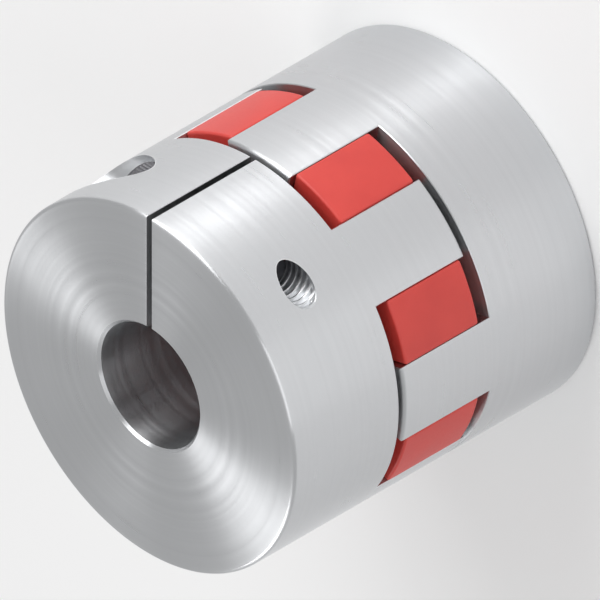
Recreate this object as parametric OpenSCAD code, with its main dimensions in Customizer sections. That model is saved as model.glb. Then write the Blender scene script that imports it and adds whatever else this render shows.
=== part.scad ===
// Clamping jaw coupling for two shafts in line: two equal hubs, an elastomer spider between their jaws,
// and one clamp screw in each hub. It stands on the rear hub's end face, with the shaft axis on +Z.

/* [Hubs] */
// Outside diameter of hubs and spider
coupling_d = 56; // [54:1:64]
// Length of a hub's clamping body, from its end face to the floor between its jaws
body_l = 20; // [18:1:30]
// Shaft diameter in the front hub
front_bore_d = 19; // [10:1:24]
// Shaft diameter in the rear hub
rear_bore_d = 19; // [10:1:24]
// Chamfer at both ends of a shaft bore
bore_chamfer = 0.4; // [0.2:0.1:1]
// Width of the clamping slot
slot_w = 1; // [0.6:0.1:2]
// Rounding of a hub's outer edges
edge_r = 0.6; // [0.3:0.1:1]

/* [Jaws] */
// Jaws on each hub
jaw_count = 4; // [3:1:5]
// Angle that one jaw takes up at the outside, in degrees
jaw_deg = 25; // [20:1:28]
// Length of a jaw
jaw_l = 17; // [12:1:20]
// Gap between a jaw's end and the other hub's floor
jaw_end_gap = 1; // [0.5:0.5:3]
// Rounding of the two inner corners of a jaw
jaw_corner_r = 1; // [0.5:0.1:1.5]
// Chamfer on the flanks and the inside of a jaw's end
jaw_chamfer = 0.2; // [0.1:0.1:1]

/* [Spider] */
// Clear diameter through the spider
spider_bore_d = 27.2; // [25:0.2:30]
// Wall of the spider's ring
spider_wall = 3.5; // [2.5:0.1:4.5]
// Gap between the spider and the floor of each hub
spider_end_gap = 2; // [1:0.5:3]
// Play between a jaw and the spider
spider_play = 0.05; // [0.02:0.01:0.1]
// Rounding of the spider's outer edges
spider_edge_r = 0.4; // [0.2:0.1:0.8]

/* [Clamp screws] */
// Thread size
screw_d = 6; // [4:1:6]
// Length under the head
screw_l = 20; // [16:1:22]
// Depth of the screw's axis below the hub's outside
screw_inset = 7; // [6.5:0.5:8]
// Distance of the head's seat from the middle of the slot
seat_to_slot = 6; // [5:0.5:7]
// Play round the head in its counterbore
head_play = 0.25; // [0.1:0.05:0.5]
// Play round the thread in the head's half of the hub
shank_play = 0.3; // [0.2:0.1:0.5]
// Play between the screw's core and the tapped hole's core
core_play = 0.05; // [0.02:0.01:0.1]

/* [Hidden] */
$fn = 96;

// Extra length of a cut beyond the surface that it leaves
past = 1;

coupling_r = coupling_d / 2;
hub_l = body_l + jaw_l;
coupling_l = 2 * body_l + jaw_l + jaw_end_gap;

// Jaws stand midway between the slot's directions, and the rear hub is turned by half a jaw pitch more
jaw_pitch = 360 / jaw_count;
rear_turn = (floor((jaw_count - 1) / 2) + 0.5) * jaw_pitch;
jaw_half_deg = jaw_deg / 2;
jaw_in_r = spider_bore_d / 2 + spider_wall + spider_play;
// Centre of a jaw's rounded inner corner, a little nearer to flank and inside than the rounding's radius,
// so that the round cleanly crosses both
corner_inset = 0.97 * jaw_corner_r;
corner_r = jaw_in_r + corner_inset;
corner_deg = jaw_half_deg - asin(corner_inset / corner_r);

spider_l = jaw_l + jaw_end_gap - 2 * spider_end_gap;

// Socket head cap screw proportions
head_d = 1.5 * screw_d + 1;
head_h = screw_d;
head_edge_r = screw_d / 10;
socket_af = screw_d - 1;
socket_l = screw_d / 2;
tap_core_r = screw_d * 5 / 12;
screw_core_r = tap_core_r - core_play;
tip_chamfer = screw_d / 10;
screw_off = coupling_r - screw_inset;
screw_from_end = body_l / 2;

function polar(r, deg) = r * [cos(deg), sin(deg)];

// What a rounding takes off the outer corner at (x, y), with the material towards -x and, for up = 1, -y
module corner_cut(x, y, r, up) {
    translate([x - r, y - up * r]) difference() {
        translate([0, up > 0 ? 0 : -r - past]) square(r + past);
        circle(r);
    }
}

// Turned disc or ring with both outer edges rounded
module rounded_ring(r_out, r_in, height, rounding) {
    rotate_extrude() difference() {
        translate([r_in, 0]) square([r_out - r_in, height]);
        corner_cut(r_out, 0, rounding, -1);
        corner_cut(r_out, height, rounding, 1);
    }
}

// Section of a jaw on the +X axis: radial flanks and an inside on a circle about the axis, with rounded corners.
// Grown all round by grow it is the pocket for that jaw. It runs on past the outside.
module jaw_section(grow = 0) {
    apex = [-grow / sin(jaw_half_deg), 0];
    reach = 2 * coupling_r;
    corner = polar(corner_r, corner_deg);
    to_flank = polar(2 * jaw_corner_r, jaw_half_deg + 90);
    to_inside = polar(-2 * jaw_corner_r, corner_deg);
    difference() {
        polygon([apex, apex + polar(reach, -jaw_half_deg), apex + polar(reach, jaw_half_deg)]);
        circle(jaw_in_r - grow);
        for (side = [0, 1]) mirror([0, side]) translate(corner) difference() {
            polygon([[0, 0], to_flank, to_flank + to_inside, to_inside]);
            circle(jaw_corner_r + grow);
        }
    }
}

module around(count, first = 0) {
    for (i = [0 : count - 1]) rotate(first + i * 360 / count) children();
}

// Space of a jaw on the +X axis, from under the hub's floor to past the jaw's end, with that end's chamfers
module jaw_space() {
    cut = jaw_chamfer + 3 * past;
    difference() {
        translate([0, 0, body_l - past]) linear_extrude(jaw_l + 3 * past) jaw_section();
        translate([0, 0, hub_l - jaw_chamfer]) {
            cylinder(h = cut, r1 = jaw_in_r, r2 = jaw_in_r + cut);
            for (side = [0, 1]) mirror([0, side]) rotate(jaw_half_deg) rotate([90, 0, 90])
                linear_extrude(2 * coupling_r) polygon([[0, 0], [-cut, cut], [cut, cut], [cut, 0]]);
        }
    }
}

// Space between the jaws, from the hub's floor upwards
module gullets() {
    difference() {
        translate([0, 0, body_l]) cylinder(h = jaw_l + past, r = coupling_r + past);
        around(jaw_count, jaw_pitch / 2) jaw_space();
    }
}

module shaft_bore(d) {
    r = d / 2;
    c = bore_chamfer;
    translate([0, 0, -past]) cylinder(h = hub_l + 2 * past, r = r);
    translate([0, 0, -past]) cylinder(h = c + past, r1 = r + c + past, r2 = r);
    translate([0, 0, body_l - c]) cylinder(h = c + past, r1 = r, r2 = r + c + past);
}

// Puts a clamp screw, or its holes, on the screw's axis in a hub: the head's seat is at the origin, the tip on +Z
module on_screw_axis() {
    translate([screw_off, -seat_to_slot, screw_from_end]) rotate([-90, 0, 0]) children();
}

// Counterbore for the head, plain hole as far as the slot, and tapped hole out through the other half
module screw_holes() {
    on_screw_axis() {
        translate([0, 0, -coupling_r]) cylinder(h = coupling_r, r = head_d / 2 + head_play);
        translate([0, 0, -past]) cylinder(h = past + seat_to_slot, r = screw_d / 2 + shank_play);
        translate([0, 0, seat_to_slot]) cylinder(h = coupling_r, r = tap_core_r);
    }
}

module clamping_slot() {
    translate([0, -slot_w / 2, -past]) cube([coupling_r + past, slot_w, hub_l + 2 * past]);
}

// One hub with its end face on z = 0, its jaws up and its slot on +X
module hub(bore_d) {
    difference() {
        rounded_ring(coupling_r, 0, hub_l, edge_r);
        gullets();
        shaft_bore(bore_d);
        clamping_slot();
        screw_holes();
    }
}

// Socket head cap screw on +Z, drawn at its thread's core, with the head's seat on z = 0
module cap_screw() {
    socket_r = socket_af / 2 / cos(30);
    color("dimgray") difference() {
        union() {
            mirror([0, 0, 1]) rotate_extrude() difference() {
                square([head_d / 2, head_h]);
                corner_cut(head_d / 2, head_h, head_edge_r, 1);
            }
            cylinder(h = screw_l - tip_chamfer, r = screw_core_r);
            translate([0, 0, screw_l - tip_chamfer])
                cylinder(h = tip_chamfer, r1 = screw_core_r, r2 = screw_core_r - tip_chamfer);
        }
        translate([0, 0, -head_h - past]) cylinder(h = socket_l + past, r = socket_r, $fn = 6);
    }
}

module at_front() {
    translate([0, 0, coupling_l]) rotate([180, 0, 0]) children();
}

module at_rear() {
    rotate(rear_turn) children();
}

module front_hub() {
    color("silver") at_front() hub(front_bore_d);
}

module rear_hub() {
    color("silver") at_rear() hub(rear_bore_d);
}

// Elastomer ring with a tooth between each front jaw and its neighbouring rear jaw
module spider() {
    color("firebrick") translate([0, 0, body_l + spider_end_gap]) difference() {
        rounded_ring(coupling_r, spider_bore_d / 2, spider_l, spider_edge_r);
        translate([0, 0, -past]) linear_extrude(spider_l + 2 * past)
            around(2 * jaw_count) jaw_section(spider_play);
    }
}

module front_clamp_screw() {
    at_front() on_screw_axis() cap_screw();
}

module rear_clamp_screw() {
    at_rear() on_screw_axis() cap_screw();
}

front_hub();
rear_hub();
spider();
front_clamp_screw();
rear_clamp_screw();
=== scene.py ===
"""Looks of a clamping jaw coupling: turned hubs, a moulded elastomer spider and black cap screws.

Pieces are modelled in millimetres in their own frame, and then placed in the coupling's frame, in
metres. A hub's own frame has its end face on z = 0, its jaws up and its slot on +X. A screw's own
frame has the head's seat on z = 0, the head below it and the tip on +Z.
"""

import math

import bmesh
import bpy
from mathutils import Matrix, Vector


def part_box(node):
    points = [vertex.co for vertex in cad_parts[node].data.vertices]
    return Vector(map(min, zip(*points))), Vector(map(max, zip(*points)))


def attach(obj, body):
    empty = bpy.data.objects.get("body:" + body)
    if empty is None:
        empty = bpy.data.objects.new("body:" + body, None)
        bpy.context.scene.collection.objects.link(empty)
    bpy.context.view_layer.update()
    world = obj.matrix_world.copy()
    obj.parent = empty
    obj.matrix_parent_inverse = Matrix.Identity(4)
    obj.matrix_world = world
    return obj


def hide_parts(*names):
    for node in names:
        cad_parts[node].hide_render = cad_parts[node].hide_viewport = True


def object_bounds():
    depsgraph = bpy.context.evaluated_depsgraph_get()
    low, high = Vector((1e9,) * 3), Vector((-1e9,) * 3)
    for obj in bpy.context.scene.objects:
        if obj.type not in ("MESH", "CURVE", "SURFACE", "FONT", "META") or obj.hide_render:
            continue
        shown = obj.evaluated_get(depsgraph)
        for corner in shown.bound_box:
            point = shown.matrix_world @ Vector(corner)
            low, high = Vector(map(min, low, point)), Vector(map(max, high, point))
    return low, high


MM = 0.001

# View of the drawing: a parallel projection along a cube's diagonal, with the slot upright
IMAGE_PX = 600
PX_PER_MM = 7.382
CENTRE_ABOVE_MIDDLE_PX = 0.8
VIEW_BACK = Vector((1, -1, 1)).normalized()
VIEW_UP = Vector((2, 1, -1)).normalized()
VIEW_RIGHT = VIEW_UP.cross(VIEW_BACK)
CAMERA_DISTANCE = 0.5

# Studio. A lamp has a direction from the coupling, the side of its square in metres, and its watts.
FLOOR_SIZE = 6.0
WORLD_LEVEL = 0.53
LAMP_DISTANCE = 0.5
LAMPS = {
    "key": ((0.92, 0.29, 0.6), 0.4, 1.25),
    "side": ((1.0, 0.25, 0.17), 0.15, 0.5),
    "fill": ((0.2, -1.0, 0.5), 0.4, 0.5),
    "top": ((-0.75, 0.2, 0.63), 0.15, 0.4),
}

# Hubs, in millimetres
BORE_R = 9.5
BORE_CHAMFER = 0.4
SLOT_W = 1.0
OUTER_EDGE_R = 0.6
EDGE_BREAK = 0.12
JAW_COUNT = 4
JAW_HALF_DEG = 12.5
JAW_IN_R = 17.15
JAW_CORNER_R = 1.0
JAW_CHAMFER = 0.2
JAW_END_GAP = 1.0
REAR_TURN_DEG = 135.0

# Spider, in millimetres
SPIDER_BORE_R = 13.6
SPIDER_PLAY = 0.05
SPIDER_EDGE_R = 0.4

# Clamp screws and their holes, in millimetres
SEAT_TO_SLOT = 6.0
HEAD_H = 6.0
HEAD_PLAY = 0.25
HEAD_EDGE_R = 0.6
HEAD_FOOT_CHAMFER = 0.25
KNURLS = 48
KNURL_DEPTH = 0.12
SHANK_HOLE_R = 3.3
TAP_CORE_R = 2.5
TIP_CHAMFER = 0.6

# Socket in a screw's head: a hexagon with a chamfered mouth and a slightly deeper drilled hole
SOCKET_AF = 5.0
SOCKET_DEPTH = 3.0
MOUTH_CHAMFER = 0.12
MOUTH_TIP_R = 0.1
DRILL_INSET = 0.02
DRILL_DEEPER = 0.05
DRILL_POINT_SLOPE = 0.6
DRILL_TIP_R = 0.02

# Metric thread, in millimetres: its slope is that of its flanks, and in a hole it has a plain start
THREAD_PITCH = 1.0
THREAD_R = 3.0
THREAD_PLAY = 0.05
THREAD_START = 0.25
THREAD_HALF_CREST = THREAD_PITCH / 16
THREAD_SLOPE = math.tan(math.radians(60))

# Steps of a full turn, of small roundings, and of other curves
HUB_STEPS = 288
BORE_STEPS = 144
HOLE_STEPS = 72
FILLET_STEPS = 8
SPIDER_EDGE_STEPS = 6
TOOTH_CORNER_STEPS = 5
JAW_INSIDE_STEPS = 16
RIM_STEPS = 48
STEPS_PER_KNURL = 4
ROWS_PER_PITCH = 16

# A bore's first point lies off the slot's sides and the axes, where points of other surfaces are
BORE_FIRST_DEG = 0.7

# How far a cut runs beyond the surface that it leaves, in the open and at a jaw's chamfered end
PAST = 1.0
LIP = 0.3

# How far a cut stays off a face that it would otherwise share, and how close coinciding points are
OFF_FACE = 0.01
COINCIDE = 1e-4

# Edges that turn by more than this are shaded sharp
SHARP_DEG = 30

# Swaps X and Z, and so mirrors what it moves
SWAP_XZ = Matrix(((0, 0, 1, 0), (0, 1, 0, 0), (1, 0, 0, 0), (0, 0, 0, 1)))

# Sockets of the Mix node that hold colours
MIX_LOW, MIX_HIGH, MIX_RESULT = 6, 7, 2

# Least upright part of a normal on a turned end face
END_FACE_UPRIGHT = 0.7

# Wear along edges: how fast it grows with an edge's turn, and how finely that turn is sampled
WEAR_GAIN = 6.0
WEAR_SAMPLES = 6


def polar(radius, deg):
    return radius * math.cos(math.radians(deg)), radius * math.sin(math.radians(deg))


def arc(centre, radius, start_deg, end_deg, steps):
    """Points on an arc, both ends included."""
    turn = end_deg - start_deg
    offsets = [polar(radius, start_deg + turn * i / steps) for i in range(steps + 1)]
    return [(centre[0] + x, centre[1] + y) for x, y in offsets]


def circle_points(radius, steps):
    return arc((0, 0), radius, 0, 360, steps)[:-1]


def bend(start, corner, end, steps):
    """Points on a curve from start to end that rounds off the corner, both ends included."""
    points = []
    for i in range(steps + 1):
        t = i / steps
        a, b, c = (1 - t) ** 2, 2 * t * (1 - t), t * t
        points.append(tuple(a * p + b * q + c * r for p, q, r in zip(start, corner, end)))
    return points


def turned(points, deg):
    c, s = polar(1, deg)
    return [(c * x - s * y, s * x + c * y) for x, y in points]


def mirrored(points):
    """The mirror image below the X axis, in the opposite order."""
    return [(x, -y) for x, y in reversed(points)]


def direction_deg(point):
    return math.degrees(math.atan2(point[1], point[0]))


def at_height(outline, z):
    return [(x, y, z) for x, y in outline]


def revolved(circle, profile):
    """A ring for each (radius, z) point, from a circle of radius 1."""
    return [[(r * x, r * y, z) for x, y in circle] for r, z in profile]


def rings_object(name, rings, climb=0):
    """Closed skin over rings of equally many points, from the lowest ring to the highest.

    The end of a ring joins the start of the ring that is climb rings higher, as in a thread.
    """
    steps = len(rings[0])
    vertices = [point for ring in rings for point in ring]
    faces = [tuple(reversed(range(steps)))]
    for low in range(0, len(vertices) - steps, steps):
        for i in range(steps):
            j = i + 1 if i + 1 < steps else climb * steps
            if low + steps + j < len(vertices):
                faces.append((low + i, low + j, low + steps + j, low + steps + i))
    faces.append(tuple(range(len(vertices) - steps, len(vertices))))
    mesh = bpy.data.meshes.new(name)
    mesh.from_pydata(vertices, [], faces)
    mesh.update()
    made = bpy.data.objects.new(name, mesh)
    bpy.context.scene.collection.objects.link(made)
    return made


def lathe(name, profile, steps, first_deg=0.0):
    """Solid of revolution about Z over (radius, z) points, from the lowest to the highest."""
    return rings_object(name, revolved(turned(circle_points(1, steps), first_deg), profile))


def prism(name, outline, low, high):
    return rings_object(name, [at_height(outline, low), at_height(outline, high)])


def applied(made):
    """Turns an object's modifiers into mesh."""
    graph = bpy.context.evaluated_depsgraph_get()
    mesh = bpy.data.meshes.new_from_object(made.evaluated_get(graph))
    made.modifiers.clear()
    made.data = mesh
    return made


def cut(body, *tools, operation="DIFFERENCE"):
    """Takes the tools' solids out of the body, or adds them to it by a UNION."""
    for tool in tools:
        step = body.modifiers.new("cut", "BOOLEAN")
        step.operation = operation
        step.solver = "EXACT"
        step.object = tool
    applied(body)
    for tool in tools:
        bpy.data.objects.remove(tool)
    return body


def welded(made):
    """Joins points that coincide, and drops what that leaves without area."""
    work = bmesh.new()
    work.from_mesh(made.data)
    bmesh.ops.remove_doubles(work, verts=work.verts, dist=COINCIDE)
    bmesh.ops.dissolve_degenerate(work, edges=work.edges, dist=COINCIDE)
    work.to_mesh(made.data)
    work.free()
    return made


def shaded(made):
    """Shades a skin smoothly but for its sharp edges, with large faces kept plain."""
    work = bmesh.new()
    work.from_mesh(welded(made).data)
    for face in work.faces:
        face.smooth = True
    for edge in work.edges:
        edge.smooth = edge.is_manifold and edge.calc_face_angle() < math.radians(SHARP_DEG)
    work.to_mesh(made.data)
    work.free()
    step = made.modifiers.new("normals", "WEIGHTED_NORMAL")
    step.keep_sharp = True
    return applied(made)


def placed(made, name, matrix, node, material):
    """Copies a piece from its own frame to its place in the coupling, to stand for a node there."""
    piece = bpy.data.objects.new(name, made.data.copy())
    piece.data.transform(Matrix.Scale(MM, 4) @ matrix)
    piece.data.materials.clear()
    piece.data.materials.append(material)
    bpy.context.scene.collection.objects.link(piece)
    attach(piece, "root")
    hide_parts(node)


def flank_point(grow, radius):
    """Point of a jaw's upper flank, moved outwards by grow, at a distance from the axis."""
    c, s = polar(1, JAW_HALF_DEG)
    along = math.sqrt(radius ** 2 - grow ** 2)
    return along * c - grow * s, along * s + grow * c


def jaw_section(grow, outside):
    """Section of a jaw on +X, grown all round: its lower flank, inside and upper flank.

    outside continues the upper flank, and its mirror image the lower one.
    """
    corner_r = JAW_IN_R + JAW_CORNER_R
    corner_deg = JAW_HALF_DEG - math.degrees(math.asin(JAW_CORNER_R / corner_r))
    inside = arc((0, 0), JAW_IN_R - grow, -corner_deg, corner_deg, JAW_INSIDE_STEPS)
    centre = polar(corner_r, corner_deg)
    corner = arc(centre, JAW_CORNER_R + grow, corner_deg + 180, JAW_HALF_DEG + 90, FILLET_STEPS)
    upper = corner[1:] + outside
    return mirrored(upper) + inside + upper


def jaws_outline(section, count, first_deg):
    """Outline of a disc with a notch of that section for each jaw."""
    pitch = 360 / count
    edge_deg = direction_deg(section[-1])
    rim = arc((0, 0), math.hypot(*section[-1]), edge_deg, pitch - edge_deg, RIM_STEPS)[1:-1]
    points = []
    for jaw in range(count):
        points += turned(section + rim, first_deg + jaw * pitch)
    return points


def gullet_outline(grow, outer_r, rim_r):
    """Space between a hub's jaws out to rim_r, with flares that break the jaws' outer edges."""
    start = Vector(flank_point(grow, outer_r - EDGE_BREAK))
    direction = Vector(polar(1, JAW_HALF_DEG - 45))
    along = start.dot(direction)
    reach = math.sqrt(along ** 2 + rim_r ** 2 - start.length_squared) - along
    tip = start + reach * direction
    section = jaw_section(grow, [tuple(start), tuple(tip)])
    return jaws_outline(section, JAW_COUNT, 180 / JAW_COUNT)


def make_gullets(outer_r, body_l, hub_l):
    """What is cut out between the jaws, with their ends' chamfers and the floor's broken edge."""
    rim_r = outer_r + PAST
    drop = PAST + EDGE_BREAK
    inner = gullet_outline(0, outer_r, outer_r - EDGE_BREAK)
    whole = gullet_outline(0, outer_r, rim_r)
    skirt = [(x, y, body_l - drop * (math.hypot(x, y) > outer_r)) for x, y in whole]
    flanks = at_height(whole, hub_l - JAW_CHAMFER)
    ends = at_height(gullet_outline(-JAW_CHAMFER - LIP, outer_r, rim_r), hub_l + LIP)
    return welded(rings_object("gullets", [at_height(inner, body_l), skirt, flanks, ends]))


def make_blank(outer_r, hub_l):
    """A hub before anything is cut out of it, with its outer edges rounded."""
    rounding = OUTER_EDGE_R
    foot = arc((outer_r - rounding, rounding), rounding, -90, 0, FILLET_STEPS)
    top = arc((outer_r - rounding, hub_l - rounding), rounding, 0, 90, FILLET_STEPS)
    return lathe("hub", foot + top, HUB_STEPS, 180 / HUB_STEPS)


def make_bore(body_l):
    """Shaft bore of a hub, with a chamfer at both ends."""
    wide = BORE_R + BORE_CHAMFER + PAST
    walls = [(BORE_R, BORE_CHAMFER), (BORE_R, body_l - BORE_CHAMFER)]
    profile = [(wide, -PAST), *walls, (wide, body_l + PAST)]
    return lathe("bore", profile, BORE_STEPS, BORE_FIRST_DEG)


def make_slot(outer_r, body_l):
    """Clamping slot with broken edges outside, and the groove that breaks those on the end face."""
    half = SLOT_W / 2
    broken = half + EDGE_BREAK + PAST
    upper = [(outer_r + PAST, broken), (outer_r - EDGE_BREAK, half), (0, half)]
    slot = prism("slot", mirrored(upper) + upper, -PAST, body_l + PAST)
    section = [(-PAST, -broken), (half + EDGE_BREAK, 0), (-PAST, broken)]
    groove = prism("groove", section, 0, outer_r + PAST)
    groove.data.transform(SWAP_XZ)
    groove.data.flip_normals()
    return slot, groove


def make_screw_holes(outer_r, screw_x, head_r):
    """Holes for a screw in its frame: counterbore, plain hole as far as the slot, tapped hole."""
    head_hole_r = head_r + HEAD_PLAY
    head_hole = lathe("head_hole", [(head_hole_r, -outer_r), (head_hole_r, 0)], HOLE_STEPS)
    plain = [(SHANK_HOLE_R, -PAST), (SHANK_HOLE_R, SEAT_TO_SLOT)]
    shank_hole = lathe("shank_hole", plain, HOLE_STEPS)

    def crest_limit(deg, z):
        """The thread begins a little way inside the hole, so that the hole's rim is plain."""
        x = screw_x + polar(TAP_CORE_R, deg)[0]
        depth = outer_r - math.hypot(x, z - SEAT_TO_SLOT)
        return TAP_CORE_R + max(0.0, depth - THREAD_START)

    # The hole leaves the hub at a slant, so the rod that cuts it runs on further than other cuts
    end = math.sqrt(outer_r ** 2 - screw_x ** 2) + SEAT_TO_SLOT + 3 * PAST
    tapped = thread("tapped", SEAT_TO_SLOT, end, TAP_CORE_R, THREAD_R + THREAD_PLAY, crest_limit)
    return head_hole, shank_hole, tapped


def make_hub(outer_r, body_l, hub_l, screw_x, head_r, seat):
    """One hub in its own frame: a turned blank, and what is cut out of it."""
    blank = make_blank(outer_r, hub_l)
    gullets = make_gullets(outer_r, body_l, hub_l)
    bore = make_bore(body_l)
    slot, groove = make_slot(outer_r, body_l)
    screw_holes = make_screw_holes(outer_r, screw_x, head_r)
    for tool in screw_holes:
        tool.data.transform(seat)
    return shaded(cut(blank, gullets, bore, slot, groove, *screw_holes))


def thread(name, low, high, core, crest, crest_limit):
    """Rod on +Z with a right-hand thread, whose crest is held under crest_limit(degrees, z).

    Its rows of points climb with the thread. Points beyond an end of the rod lie flat on that end.
    """
    rows = math.ceil((high - low) / THREAD_PITCH + 2) * ROWS_PER_PITCH
    rings = []
    for row in range(rows + 1):
        ring = []
        for i in range(HOLE_STEPS):
            deg = 360 * i / HOLE_STEPS
            z = low + THREAD_PITCH * (row / ROWS_PER_PITCH + i / HOLE_STEPS - 1)
            z = min(max(z, low), high)
            from_crest = abs((z / THREAD_PITCH - deg / 360) % 1.0 - 0.5) * THREAD_PITCH
            ridge = crest - max(0.0, from_crest - THREAD_HALF_CREST) * THREAD_SLOPE
            ring.append((*polar(min(max(core, ridge), crest_limit(deg, z)), deg), z))
        rings.append(ring)
    return welded(rings_object(name, rings, ROWS_PER_PITCH))


def make_head(head_r):
    """Head of a screw without its socket, with a knurled side."""
    rounding = HEAD_EDGE_R
    top = arc((head_r - rounding, rounding - HEAD_H), rounding, -90, 0, FILLET_STEPS)
    foot = [(head_r, -HEAD_FOOT_CHAMFER), (head_r - HEAD_FOOT_CHAMFER, 0)]
    steps = KNURLS * STEPS_PER_KNURL
    circle = circle_points(1, steps)
    valley = STEPS_PER_KNURL // 2
    radii = [head_r - KNURL_DEPTH * (i % STEPS_PER_KNURL == valley) for i in range(steps)]
    knurled = [(r * x, r * y) for r, (x, y) in zip(radii, circle)]
    rings = revolved(circle, top)
    rings.append(at_height(knurled, top[-1][1] + KNURL_DEPTH))
    rings.append(at_height(knurled, -HEAD_FOOT_CHAMFER - KNURL_DEPTH))
    return rings_object("screw", rings + revolved(circle, foot))


def make_socket():
    """What is cut out of a screw's head: the hexagon, a drilled hole and the mouth's chamfer."""
    start, floor = -HEAD_H - PAST, SOCKET_DEPTH - HEAD_H
    corner_r = SOCKET_AF / 2 / math.cos(math.radians(30))
    hexagon = prism("hexagon", circle_points(corner_r, 6), start, floor)
    drill_r = SOCKET_AF / 2 - DRILL_INSET
    drill_end = floor + DRILL_DEEPER
    point = (DRILL_TIP_R, drill_end + drill_r * DRILL_POINT_SLOPE)
    drill = lathe("drill", [(drill_r, start), (drill_r, drill_end), point], HOLE_STEPS)
    mouth_r = corner_r + MOUTH_CHAMFER
    cone = [(mouth_r + PAST, start), (MOUTH_TIP_R, mouth_r - MOUTH_TIP_R - HEAD_H)]
    return hexagon, drill, lathe("mouth", cone, HOLE_STEPS)


def make_screw(head_r, screw_l):
    """Socket head cap screw in its own frame, with a knurled head and a threaded shank."""
    head = cut(make_head(head_r), *make_socket())
    core, crest = TAP_CORE_R - 2 * THREAD_PLAY, THREAD_R - THREAD_PLAY
    tip = screw_l - TIP_CHAMFER
    shank = thread("shank", -PAST, screw_l, core, crest, lambda _, z: crest - max(0, z - tip))
    return shaded(cut(head, shank, operation="UNION"))


def spider_outline(inset, outer_r):
    """Outline of the spider with its pockets for all jaws, drawn in by inset."""
    radius = outer_r - inset
    grow = SPIDER_PLAY + inset
    corner = flank_point(grow, radius)
    end = polar(radius, direction_deg(corner) + math.degrees(SPIDER_EDGE_R / radius))
    outside = bend(flank_point(grow, radius - SPIDER_EDGE_R), corner, end, TOOTH_CORNER_STEPS)
    return jaws_outline(jaw_section(grow, outside), 2 * JAW_COUNT, 0)


def make_spider(outer_r, low, high):
    """Elastomer ring in the coupling's frame, with teeth between the jaws and all edges rounded."""
    edge_r = SPIDER_EDGE_R
    angles = [math.radians(90 * i / SPIDER_EDGE_STEPS) for i in range(SPIDER_EDGE_STEPS + 1)]
    levels = [(edge_r * (1 - math.sin(a)), edge_r * (1 - math.cos(a))) for a in angles]
    outlines = [(spider_outline(inset, outer_r), lift) for inset, lift in levels]
    rings = [at_height(outline, low + lift) for outline, lift in outlines]
    rings += [at_height(outline, high - lift) for outline, lift in reversed(outlines)]
    blank = rings_object("spider", rings)

    wide = SPIDER_BORE_R + edge_r
    foot = [(SPIDER_BORE_R + inset, low + max(lift, OFF_FACE)) for inset, lift in levels]
    top = [(SPIDER_BORE_R + inset, high - max(lift, OFF_FACE)) for inset, lift in reversed(levels)]
    profile = [(wide, low - PAST), *foot, *top, (wide, high + PAST)]
    return shaded(cut(blank, lathe("bore", profile, BORE_STEPS, BORE_FIRST_DEG)))


class Finish:
    """A material under construction: its nodes, and short ways to add and link them."""

    def __init__(self, name):
        self.material = bpy.data.materials.new(name)
        self.material.use_nodes = True
        self.tree = self.material.node_tree
        self.shader = self.tree.nodes["Principled BSDF"]

    def feed(self, socket, value):
        if isinstance(value, bpy.types.NodeSocket):
            self.tree.links.new(value, socket)
        else:
            socket.default_value = value

    def set(self, **values):
        for name, value in values.items():
            self.feed(self.shader.inputs[name.replace("_", " ")], value)

    def add(self, kind, inputs=None, **settings):
        node = self.tree.nodes.new("ShaderNode" + kind)
        for name, value in settings.items():
            setattr(node, name, value)
        for name, value in (inputs or {}).items():
            self.feed(node.inputs[name], value)
        return node

    def math(self, operation, *values):
        node = self.add("Math", operation=operation)
        for socket, value in zip(node.inputs, values):
            self.feed(socket, value)
        return node.outputs[0]

    def total(self, base, *shares):
        """base plus a share of each value, given as (share, value)."""
        for share, value in shares:
            base = self.math("MULTIPLY_ADD", value, share, base)
        return base

    def blend(self, share, low, high):
        """Colour between low and high."""
        node = self.add("Mix", data_type="RGBA")
        self.feed(node.inputs["Factor"], share)
        for index, colour in ((MIX_LOW, low), (MIX_HIGH, high)):
            self.feed(node.inputs[index], (*colour, 1) if isinstance(colour, tuple) else colour)
        return node.outputs[MIX_RESULT]

    def place(self):
        return self.add("TexCoord").outputs["Object"]

    def normal(self):
        return self.add("NewGeometry").outputs["Normal"]

    def grain(self, per_metre, detail=2.0):
        """Even noise in space, with that many features to a metre."""
        inputs = {"Vector": self.place(), "Scale": per_metre, "Detail": detail}
        return self.add("TexNoise", inputs).outputs[0]

    def lines(self, along, per_metre, detail):
        """Noise that changes along one coordinate only."""
        inputs = {"W": self.math("MULTIPLY", along, per_metre), "Scale": 1.0, "Detail": detail}
        return self.add("TexNoise", inputs, noise_dimensions="1D").outputs[0]

    def edges(self, width, broken_by):
        """Wear from 0 to 1 along edges, about that wide, which comes and goes with a noise."""
        rounded = self.add("Bevel", {"Radius": width}, samples=WEAR_SAMPLES).outputs[0]
        normals = {0: rounded, 1: self.normal()}
        alike = self.add("VectorMath", normals, operation="DOT_PRODUCT").outputs["Value"]
        near = self.math("MULTIPLY", self.math("SUBTRACT", 1.0, alike), WEAR_GAIN)
        return self.math("MINIMUM", 1.0, self.math("MULTIPLY", near, broken_by))

    def bump(self, texture, height):
        node = self.add("Bump", {"Height": texture, "Strength": 1.0, "Distance": height})
        self.feed(self.shader.inputs["Normal"], node.outputs["Normal"])


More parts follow.
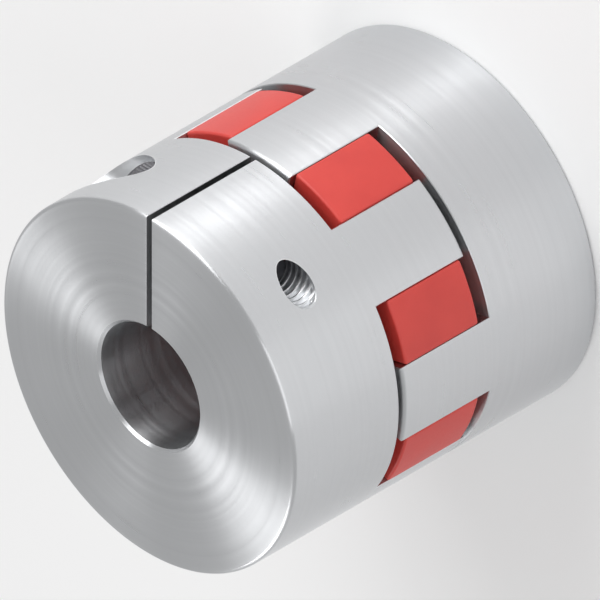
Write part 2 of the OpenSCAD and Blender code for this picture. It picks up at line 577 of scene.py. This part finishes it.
def turned_aluminium():
    """Bare aluminium with a lathe's marks: rings on the ends, lines round outside and bore."""
    dark, light, worn = (0.60, 0.61, 0.625), (0.71, 0.72, 0.735), (0.80, 0.81, 0.82)
    finish = Finish("turned_aluminium")
    x, y, z = finish.add("SeparateXYZ", {0: finish.place()}).outputs
    squares = finish.math("ADD", finish.math("MULTIPLY", x, x), finish.math("MULTIPLY", y, y))
    from_axis = finish.math("SQRT", squares)

    # The tool fed along the radius on end faces, and along the axis everywhere else
    upright = finish.add("SeparateXYZ", {0: finish.normal()}).outputs[2]
    on_end = finish.math("GREATER_THAN", finish.math("ABSOLUTE", upright), END_FACE_UPRIGHT)
    along_axis = finish.math("MULTIPLY", finish.math("SUBTRACT", 1.0, on_end), z)
    fed = finish.math("ADD", finish.math("MULTIPLY", on_end, from_axis), along_axis)

    bands = finish.lines(fed, per_metre=900, detail=3.0)
    cloud = finish.grain(per_metre=110, detail=3.0)
    wear = finish.edges(width=0.25e-3, broken_by=finish.grain(per_metre=500))
    tone = finish.total(0.0, (0.4, cloud), (0.6, bands))
    finish.set(
        Base_Color=finish.blend(wear, finish.blend(tone, dark, light), worn),
        Metallic=1.0,
        Roughness=finish.total(0.20, (0.10, cloud), (0.12, bands), (-0.08, wear)),
        Anisotropic=0.9,
        Anisotropic_Rotation=0.25,
        Tangent=finish.add("Tangent", direction_type="RADIAL", axis="Z").outputs[0],
    )
    finish.bump(finish.lines(fed, per_metre=2000, detail=1.0), height=1.2e-6)
    return finish.material


def moulded_elastomer():
    """Red polyurethane from a mould: finely grained, with a little light in its edges."""
    dark, light, worn = (0.52, 0.036, 0.03), (0.66, 0.062, 0.048), (0.74, 0.15, 0.12)
    finish = Finish("moulded_elastomer")
    cloud = finish.grain(per_metre=160, detail=3.0)
    grain = finish.grain(per_metre=2600)
    wear = finish.edges(width=0.3e-3, broken_by=finish.grain(per_metre=900))
    finish.set(
        Base_Color=finish.blend(wear, finish.blend(cloud, dark, light), worn),
        Roughness=finish.total(0.32, (0.10, grain), (0.16, cloud), (0.10, wear)),
        Subsurface_Weight=0.12,
        Subsurface_Radius=(1.0, 0.25, 0.15),
        Subsurface_Scale=0.0012,
    )
    finish.bump(grain, height=8e-6)
    return finish.material


def black_oxide_steel():
    """Blackened steel: dark, a little mottled, brighter where the coat is thin."""
    dark, light, worn = (0.07, 0.07, 0.08), (0.15, 0.15, 0.16), (0.36, 0.35, 0.34)
    finish = Finish("black_oxide_steel")
    mottle = finish.grain(per_metre=700, detail=4.0)
    wear = finish.edges(width=0.15e-3, broken_by=finish.grain(per_metre=1500, detail=3.0))
    finish.set(
        Base_Color=finish.blend(wear, finish.blend(mottle, dark, light), worn),
        Metallic=1.0,
        Roughness=finish.total(0.24, (0.22, mottle)),
    )
    finish.bump(finish.grain(per_metre=5200), height=3e-6)
    return finish.material


def pale_floor():
    dark, light = (0.94, 0.94, 0.94), (0.96, 0.96, 0.96)
    finish = Finish("pale_floor")
    finish.set(
        Base_Color=finish.blend(finish.grain(per_metre=30), dark, light),
        Roughness=0.9,
        Specular_IOR_Level=0.1,
    )
    return finish.material


def make_camera(centre):
    camera = bpy.data.cameras.new("camera")
    camera.type = "ORTHO"
    camera.ortho_scale = IMAGE_PX / PX_PER_MM * MM
    eye = bpy.data.objects.new("camera", camera)
    bpy.context.scene.collection.objects.link(eye)
    axes = Matrix((VIEW_RIGHT, VIEW_UP, VIEW_BACK)).transposed().to_4x4()
    aim = centre - VIEW_UP * (CENTRE_ABOVE_MIDDLE_PX / PX_PER_MM * MM)
    eye.matrix_world = Matrix.Translation(aim + VIEW_BACK * CAMERA_DISTANCE) @ axes
    bpy.context.scene.camera = eye


def softbox(name, centre, direction, size, watts):
    """Square lamp that faces the coupling from a direction."""
    lamp = bpy.data.lights.new(name, "AREA")
    lamp.size = size
    lamp.energy = watts
    box = bpy.data.objects.new(name, lamp)
    bpy.context.scene.collection.objects.link(box)
    away = Vector(direction).normalized()
    facing = away.to_track_quat("Z", "Y").to_matrix().to_4x4()
    box.matrix_world = Matrix.Translation(centre + away * LAMP_DISTANCE) @ facing


def make_world(level):
    world = bpy.data.worlds.new("studio")
    world.use_nodes = True
    world.node_tree.nodes["Background"].inputs["Color"].default_value = (level, level, level, 1)
    bpy.context.scene.world = world


def make_floor(z):
    half = FLOOR_SIZE / 2
    mesh = bpy.data.meshes.new("floor")
    corners = [(-half, -half, z), (half, -half, z), (half, half, z), (-half, half, z)]
    mesh.from_pydata(corners, [], [(0, 1, 2, 3)])
    mesh.materials.append(pale_floor())
    floor = bpy.data.objects.new("floor", mesh)
    bpy.context.scene.collection.objects.link(floor)


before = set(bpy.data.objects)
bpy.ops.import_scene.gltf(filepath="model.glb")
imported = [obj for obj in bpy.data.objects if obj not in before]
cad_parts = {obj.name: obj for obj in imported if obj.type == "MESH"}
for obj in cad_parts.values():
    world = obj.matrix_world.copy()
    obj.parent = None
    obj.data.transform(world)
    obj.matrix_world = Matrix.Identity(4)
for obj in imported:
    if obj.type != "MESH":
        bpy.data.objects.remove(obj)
cad_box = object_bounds()
centre = (cad_box[0] + cad_box[1]) / 2

# Sizes that the frame gives, in millimetres
rear_low, rear_high = [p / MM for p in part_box("rear_hub")]
spider_low, spider_high = [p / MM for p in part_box("spider")]
screw_low, screw_high = [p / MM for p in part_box("front_clamp_screw")]
coupling_l = (cad_box[1].z - cad_box[0].z) / MM
outer_r = rear_high.x
hub_l = rear_high.z - rear_low.z
body_l = (coupling_l - JAW_END_GAP) - hub_l
head_r = (screw_high.x - screw_low.x) / 2
screw_x = (screw_high.x + screw_low.x) / 2
screw_z = coupling_l - (screw_high.z + screw_low.z) / 2
screw_l = screw_high.y - screw_low.y - HEAD_H

# Frames of the two hubs in the coupling, and of a screw in its hub
front = Matrix.Translation((0, 0, coupling_l)) @ Matrix.Rotation(math.pi, 4, "X")
rear = Matrix.Rotation(math.radians(REAR_TURN_DEG), 4, "Z")
to_slot = Matrix.Rotation(-math.pi / 2, 4, "X")
seat = Matrix.Translation((screw_x, -SEAT_TO_SLOT, screw_z)) @ to_slot

aluminium, elastomer, steel = turned_aluminium(), moulded_elastomer(), black_oxide_steel()
hub = make_hub(outer_r, body_l, hub_l, screw_x, head_r, seat)
screw = make_screw(head_r, screw_l)
spider = make_spider(outer_r, spider_low.z, spider_high.z)
for side, place in (("front", front), ("rear", rear)):
    hub_node, screw_node = side + "_hub", side + "_clamp_screw"
    placed(hub, side + "_hub_turned", place, hub_node, aluminium)
    placed(screw, side + "_screw_threaded", place @ seat, screw_node, steel)
placed(spider, "spider_moulded", Matrix(), "spider", elastomer)
for pattern in (hub, screw, spider):
    bpy.data.objects.remove(pattern)

make_camera(centre)
make_floor(cad_box[0].z)
make_world(WORLD_LEVEL)
for name, (direction, size, watts) in LAMPS.items():
    softbox(name, centre, direction, size, watts)

bpy.context.scene.view_settings.view_transform = "Standard"
